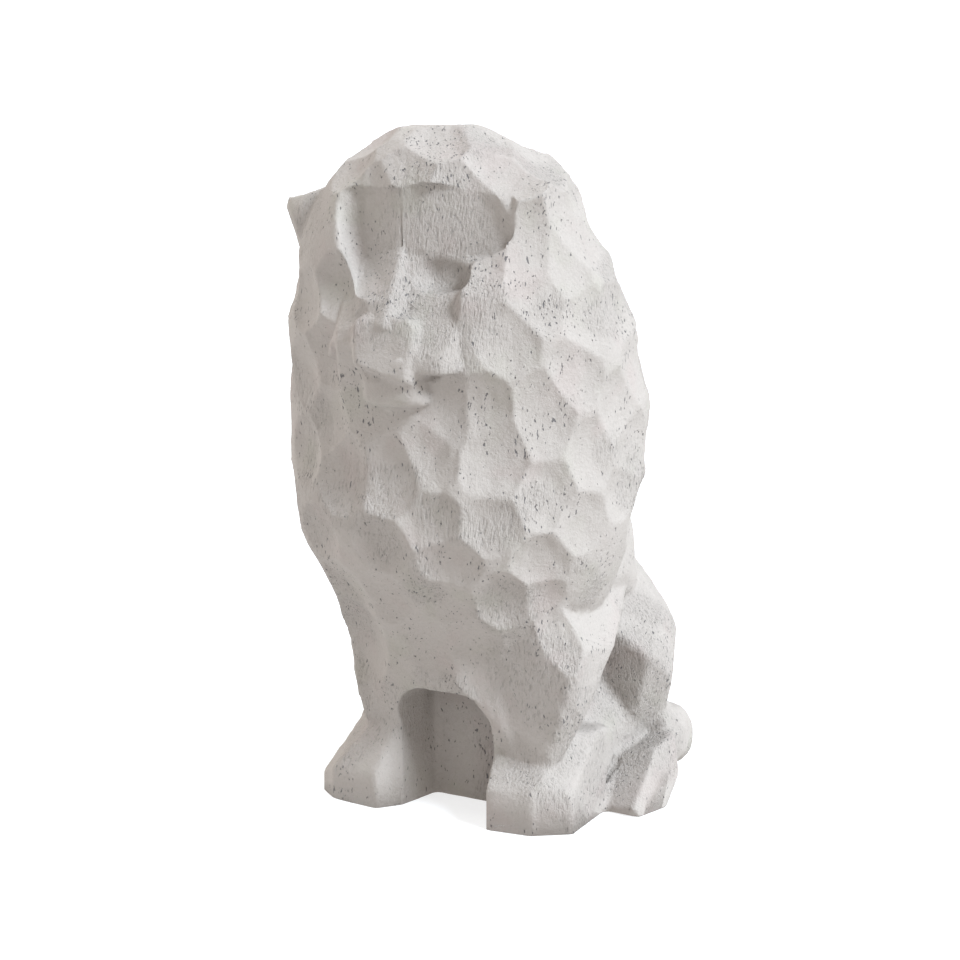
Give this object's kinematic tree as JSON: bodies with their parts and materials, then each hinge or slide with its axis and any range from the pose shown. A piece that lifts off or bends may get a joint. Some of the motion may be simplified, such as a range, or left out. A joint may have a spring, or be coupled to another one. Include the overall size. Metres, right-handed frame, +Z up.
{
  "type": "lion sculpture",
  "caption": "Seated lion statuette hewn in pale limestone: a tall mane of overlapping gouge hollows, a calm blocky face, straight forelegs and a tail laid round one hind foot.",
  "frame": {"origin": "on the ground line, in the middle of the lion from side to side and between its forelegs and rump", "axes": "+Z up, -Y the way the lion faces, +X towards the lion's left side"},
  "size_m": [0.1316, 0.147, 0.24],
  "materials": {
    "limestone": "dry matte stone with fine pits and tool marks"
  },
  "bodies": {
    "root": {"lion": "limestone"}
  },
  "joints": []
}
